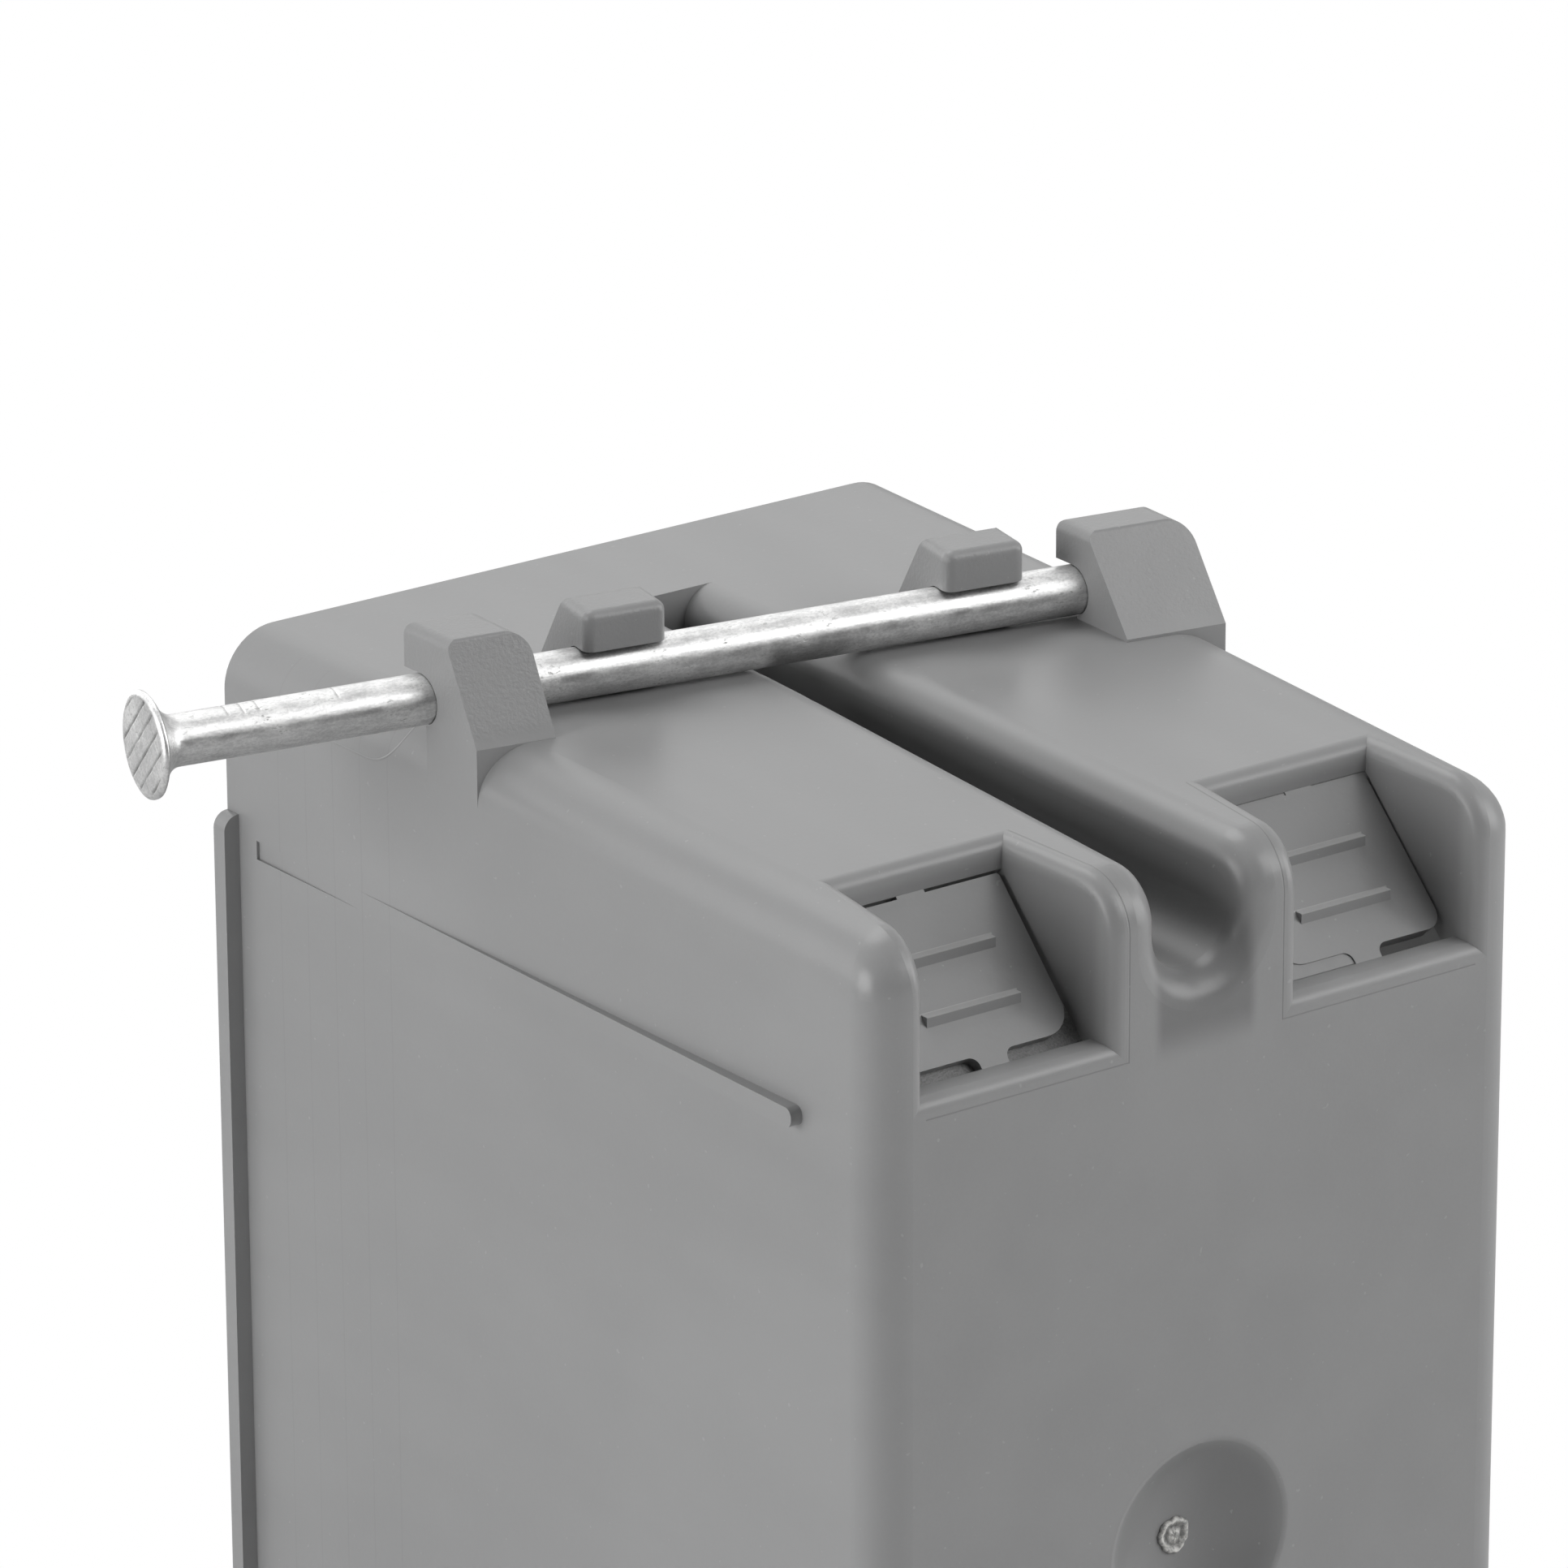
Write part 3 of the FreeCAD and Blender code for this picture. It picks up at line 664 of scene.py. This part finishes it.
def nailSurface(facts):
    # Columns run round the nail, rows from the middle of the face to the point. Each vertex
    # is (along, across, above) from the nail's middle, and its painted crease shade is 1 where it
    # is darkest.
    angle = np.linspace(0, 2 * np.pi, facts["turns"], endpoint=False)[None, :]
    rings = np.linspace(0, 1, 44)[1:, None] * facts["faceRadius"]
    across, above = rings * np.cos(angle), rings * np.sin(angle)
    # the face is checkered: two crossing rows of grooves, the first cut deeper
    check = facts["checkPitch"]
    cuts = []
    for row, shift in zip((above - across, above + across), facts["checkShift"]):
        away = np.abs((row + shift + check / 2) % check - check / 2) / math.sqrt(2)
        cuts.append(notch(away, facts["checkWidth"]))
    worn = 0.65 + 0.35 * np.sin(2.1 * across + 1.3) * np.cos(1.7 * above + 0.4)
    rimFade = 1 - smooth(rings, facts["faceRadius"] - 0.12, facts["faceRadius"])
    deep = worn * cuts[0]
    dip = facts["checkDepth"] * deep + facts["crossDepth"] * cuts[1]
    face = np.stack([facts["headReach"] - dip * rimFade, across, above], 2)
    # painted shade in the checker grooves, strongest in the deeper row
    checkShade = (0.85 * deep + 0.12 * cuts[1]) * rimFade

    profile = nailProfile(facts)
    behind, radius = profile[:, :1], profile[:, 1:]
    along = facts["headReach"] - behind + 0 * angle
    radius = radius + 0 * angle
    # the rim is not quite round, and shows where the dies met
    rim = 1 - smooth(behind, 0.4, 1.2)
    radius = radius + rim * (0.03 * np.sin(3 * angle + 0.7) + 0.02 * np.sin(7 * angle))
    # grip marks run part way round the upper side of the shank; painted shade darkens them and the
    # crease under the rim
    creaseShade = 0.75 * notch(behind - 0.54, 0.12) + 0 * angle
    for mark in facts["gripMarks"]:
        cut = notch(along - mark, facts["gripWidth"]) * smooth(np.sin(angle), 0.78, 0.88)
        radius = radius - facts["gripDepth"] * cut
        creaseShade = np.maximum(creaseShade, 0.45 * cut)
    # the point is a pyramid: half its width over the larger of |cos| and |sin|
    left = (facts["length"] - behind) / facts["pointLength"]
    half = facts["pointTip"] + (facts["radius"] * 1.02 - facts["pointTip"]) * np.clip(left, 0, 1)
    turned = angle + facts["pointTurn"]
    square = half / np.maximum(np.abs(np.cos(turned)), np.abs(np.sin(turned)))
    radius = np.where(left < 1, np.minimum(radius, square), radius)
    body = np.stack([along, radius * np.cos(angle), radius * np.sin(angle)], 2)
    return np.concatenate([face, body[1:]]), np.concatenate([checkShade, creaseShade[1:]])


def makeNail(name, side, facts):
    # the lower nail is the upper one mirrored, with its faces turned to look outwards again
    grid, creaseShade = nailSurface(facts)
    middle = np.array([[facts["headReach"], 0, 0], [facts["headReach"] - facts["length"], 0, 0]])
    local = np.concatenate([middle, grid.reshape(-1, 3)])
    turn = math.radians(facts["skew"])
    x = local[:, 0] * math.cos(turn) + local[:, 1] * math.sin(turn)
    y = -local[:, 0] * math.sin(turn) + local[:, 1] * math.cos(turn) + facts["axisDepth"]
    z = side * (local[:, 2] + facts["axisLevel"])
    faces = closedFaces(*grid.shape[:2])
    if side < 0:
        faces = [face[::-1] for face in faces]
    return addPiece(name, np.stack([x, y, z], 1) * mm, faces, nailSteel, creaseShade=creaseShade)


nailSteel = makeSteel(steel)
for word, side in (("upper", 1), ("lower", -1)):
    piece = makeNail("nail_" + word + "_detailed", side, nail)
    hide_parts("nail_" + word)
    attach(piece, word + "_nail")
print("nails made")


# gate scar: the torn stub where the melt came in, in the dish
scar = {
    "foot": (0.0003, 0.06901, -0.00157),
    "ballCentre": (0.0, 0.08027, -0.0013),
    "radius": 0.00132,
    "turns": 72,
    "pale": (0.80, 0.79, 0.76, 1),
    "dull": (0.38, 0.38, 0.37, 1),
    # painted shade in the scar's creases
    "crackShade": grey(0.05),
    "bumpDepth": 0.00006,
}


def makeTornPlastic(facts):
    material, tree, shader, place = startMaterial("grey_plastic_torn")
    mottle = noise(tree, place, 2600.0, 3.0, 0.6)
    colour = blendColour(tree, fade(tree, mottle, 0.38, 0.6), facts["dull"], facts["pale"])
    # painted shade in the scar's creases
    creaseShade = calc(tree, "MULTIPLY", creaseShadeAttribute(tree), 0.8)
    feed(tree, shader.inputs["Base Color"], blendColour(tree, creaseShade, colour, facts["crackShade"]))
    feed(tree, shader.inputs["Roughness"], fade(tree, mottle, 0.3, 0.7, 0.35, 0.6))
    grain = noise(tree, place, 5200.0, 3.0, 0.6)
    feed(tree, shader.inputs["Normal"], bumpNormal(tree, grain, facts["bumpDepth"]))
    return material


def makeScar(facts):
    # Rows run from the middle over a torn rim and back under the dish. A vertex stands above
    # the bowl by its profile's height, and the bowl rises by r squared over twice its radius.
    profile = np.array([(0.0, 0.30), (0.12, 0.33), (0.25, 0.27), (0.38, 0.16), (0.5, 0.12),
                        (0.62, 0.15), (0.72, 0.24), (0.8, 0.30), (0.87, 0.27), (0.93, 0.16),
                        (0.98, 0.04), (1.0, -0.12), (0.6, -0.2), (0.02, -0.2)])
    angle = np.linspace(0, 2 * np.pi, facts["turns"], endpoint=False)[None, :]
    ragged = 1 + 0.05 * np.sin(3 * angle + 0.4) + 0.03 * np.sin(7 * angle + 2)
    ragged = ragged + 0.02 * np.sin(13 * angle)
    radius = profile[:, :1] * facts["radius"] * ragged
    torn = 1 + 0.35 * np.sin(2 * angle + 1) * np.sin(5 * angle + 0.3) + 0.2 * np.sin(9 * angle)
    rise = profile[:, 1:]
    height = np.where(rise > 0, rise * (0.75 + 0.25 * torn), rise) * mm
    foot = Vector(facts["foot"])
    out = Vector(facts["ballCentre"]) - foot
    bowl = out.length
    out.normalize()
    first = out.orthogonal().normalized()
    second = out.cross(first)
    across, above = radius * np.cos(angle), radius * np.sin(angle)
    height = height + radius ** 2 / (2 * bowl)
    steps = ((across, first), (above, second), (height, out))
    grid = np.array(foot) + sum(size[..., None] * np.array(way) for size, way in steps)
    middles = grid[:1].mean(1), grid[-1:].mean(1)
    places = np.concatenate([*middles, grid.reshape(-1, 3)])
    # painted shade in the crease round the middle nub and at the torn rim
    crease = notch(profile[:, :1] - 0.5, 0.25) + notch(profile[:, :1] - 1.0, 0.12) + 0 * angle
    creaseShade = np.clip(crease * (0.6 + 0.4 * torn), 0, 1)
    faces = closedFaces(*grid.shape[:2])
    piece = addPiece("gate_scar", places, faces, makeTornPlastic(facts), creaseShade=creaseShade)
    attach(piece, "box")


makeScar(scar)
print("gate scar made")


# thin films of plastic that closed some of the slots round the flaps, in millimetres
film = {
    "slope": 47.91,
    "start": (61.0, 44.825),  # depth and level of the flap's front edge
    "thickness": 0.12,
    "step": 0.12,
    # painted shade: the deep films are darker, down in the slots
    "dark": grey(0.17),
    "light": grey(0.25),
    "toneEdge": (0.38, 0.62),
    "roughness": (0.40, 0.55),
    "grainDepth": 0.00004,
    # side of the box, from and to across it, from and to down the flap, depth below its face
    "places": {
        "head_inner": (1, 7.7, 14.4, 9.4, 12.5, 0.80),
        "head_outer": (1, 16.2, 22.5, 10.4, 12.5, 0.80),
        "stud_inner": (-1, 7.7, 14.4, 9.4, 12.5, 0.10),
        "stud_top": (-1, 8.3, 21.7, -0.05, 0.5, 0.08),
    },
}


def makeFilm(name, place, facts, material):
    # A sheet down the flap's slope with an even thickness. Its face lies the given depth
    # under the flap and ripples by sines of both directions.
    side, left, right, high, low, depth = place
    across = np.linspace(left, right, int((right - left) / facts["step"]) + 2)[None, :]
    along = np.linspace(high, low, int((low - high) / facts["step"]) + 2)[:, None]
    ripple = 0.008 * np.sin(3.1 * across + 1) * np.sin(2.3 * along)
    ripple = ripple + 0.003 * np.sin(6 * across + 5 * along)
    slope = math.radians(facts["slope"])
    sheets = []
    for below in (depth + ripple, depth + facts["thickness"] + 0 * ripple):
        y = facts["start"][0] + math.cos(slope) * along - math.sin(slope) * below
        z = facts["start"][1] - math.sin(slope) * along - math.cos(slope) * below
        sheets.append(np.stack([side * (across + 0 * y), y, z], 2))
    rows, columns = sheets[0].shape[:2]
    number = np.arange(rows * columns).reshape(rows, columns)
    top = np.stack([number[:-1, :-1], number[1:, :-1], number[1:, 1:], number[:-1, 1:]], 2)
    top = top.reshape(-1, 4)
    under = top[:, ::-1] + rows * columns
    edge = np.concatenate([number[0, :-1], number[:-1, -1], number[-1, :0:-1], number[:0:-1, 0]])
    after = np.roll(edge, -1)
    wall = np.stack([edge, after, after + rows * columns, edge + rows * columns], 1)
    faces = np.concatenate([top, under, wall])
    if side < 0:
        faces = faces[:, ::-1]
    places = np.concatenate([sheet.reshape(-1, 3) for sheet in sheets]) * mm
    rounded = np.arange(len(faces)) < len(top) + len(under)
    piece = addPiece(name, places, faces.tolist(), material, rounded)
    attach(piece, "box")


def makeShadedFilmPlastic(facts):
    # the same skin as the box with a coarser grain, painted darker as shade down in the slots
    material, tree, shader, place = startMaterial("grey_plastic_film_shaded")
    skinNode = useGroup(tree, skinGroup, Place=place)
    grain = noise(tree, place, 6500.0, 2.0, 0.6)
    tone = calc(tree, "MULTIPLY", skinNode.outputs["Tone"], 0.4)
    tone = calc(tree, "MULTIPLY_ADD", grain, 0.6, tone)
    colour = blendColour(tree, fade(tree, tone, *facts["toneEdge"]), facts["dark"], facts["light"])
    feed(tree, shader.inputs["Base Color"], colour)
    rough = fade(tree, skinNode.outputs["Gloss"], *plastic["glossEdge"], *facts["roughness"])
    feed(tree, shader.inputs["Roughness"], rough)
    feed(tree, shader.inputs["Normal"], bumpNormal(tree, grain, facts["grainDepth"]))
    return material


shadedFilmPlastic = makeShadedFilmPlastic(film)
boxPlastic = nodes["box_body"].material_slots[0].material
for name, place in film["places"].items():
    # the films on the stud side are of the box's own plastic; the deeper ones on the head side take
    # the darker plastic, painted shade
    makeFilm("film_" + name, place, film, boxPlastic if name.startswith("stud") else shadedFilmPlastic)
print("films made")


bpy.context.scene.view_settings.view_transform = "Standard"
